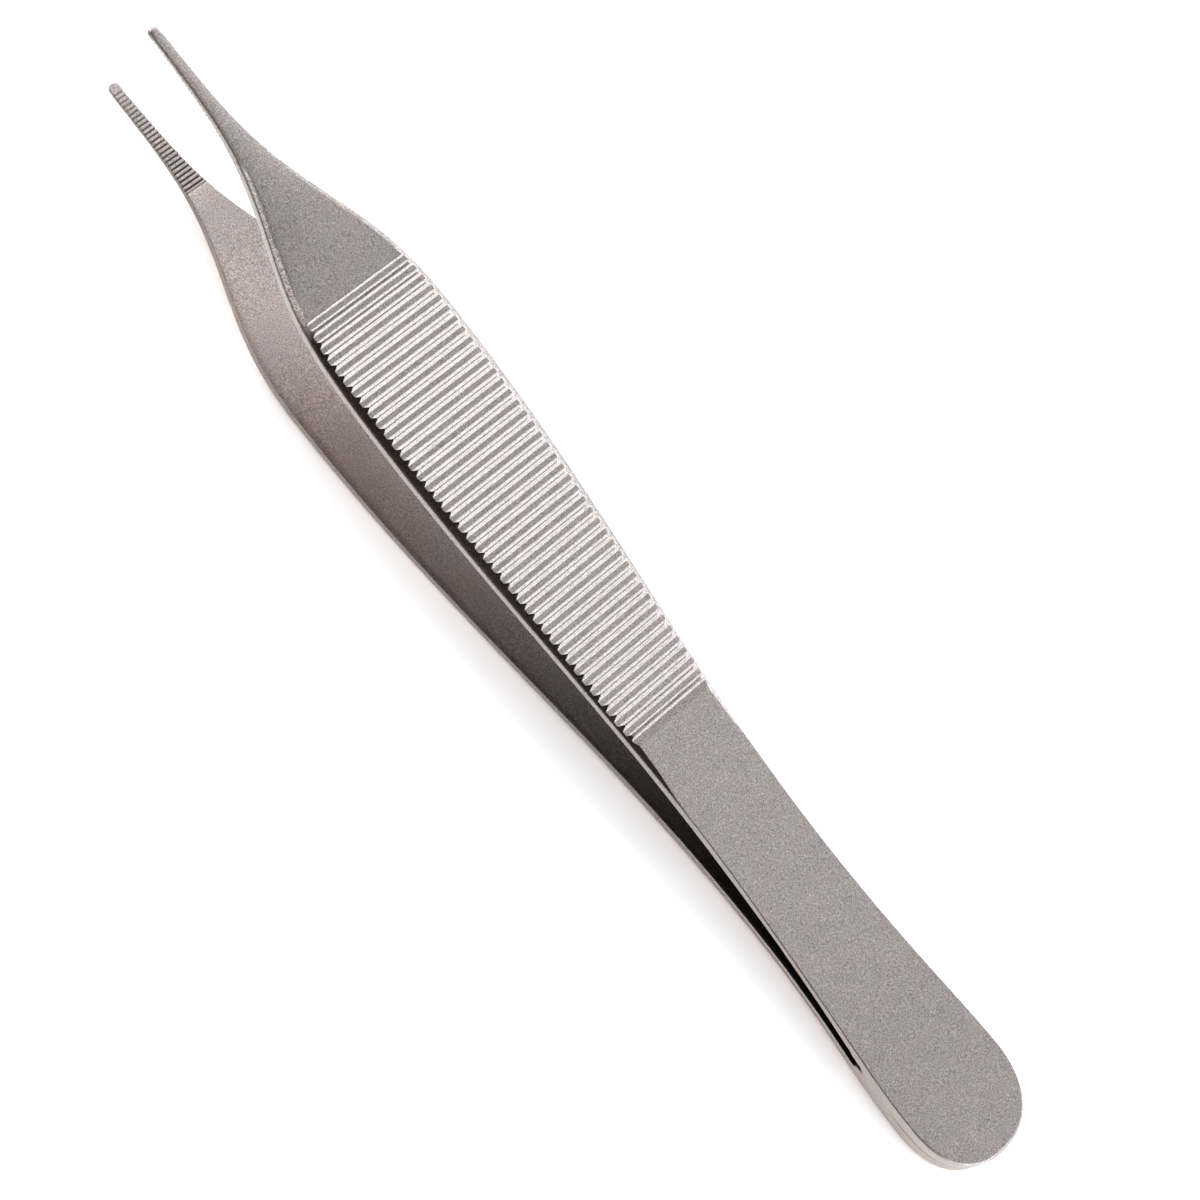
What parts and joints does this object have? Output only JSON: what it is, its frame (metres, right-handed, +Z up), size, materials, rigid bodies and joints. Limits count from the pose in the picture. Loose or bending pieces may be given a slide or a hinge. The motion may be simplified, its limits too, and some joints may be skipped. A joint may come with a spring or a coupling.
{
  "type": "thumb forceps",
  "caption": "Fine-tipped thumb forceps: two bowed spring arms welded at the heel, with a wide grooved grip, slender jaws and serrated tips.",
  "frame": {"origin": "bottom centre of the bounding box, on the table that the forceps lie on", "axes": "+X from the tips to the heel, +Y across the arms, +Z up; the lower arm lies on the table on its bowed outer face and its heel"},
  "size_m": [0.1202, 0.014, 0.0132],
  "materials": {
    "steel": "satin, glass-bead blasted, with ground edges"
  },
  "bodies": {
    "root": {"upper_arm": "steel", "lower_arm": "steel"}
  },
  "joints": []
}
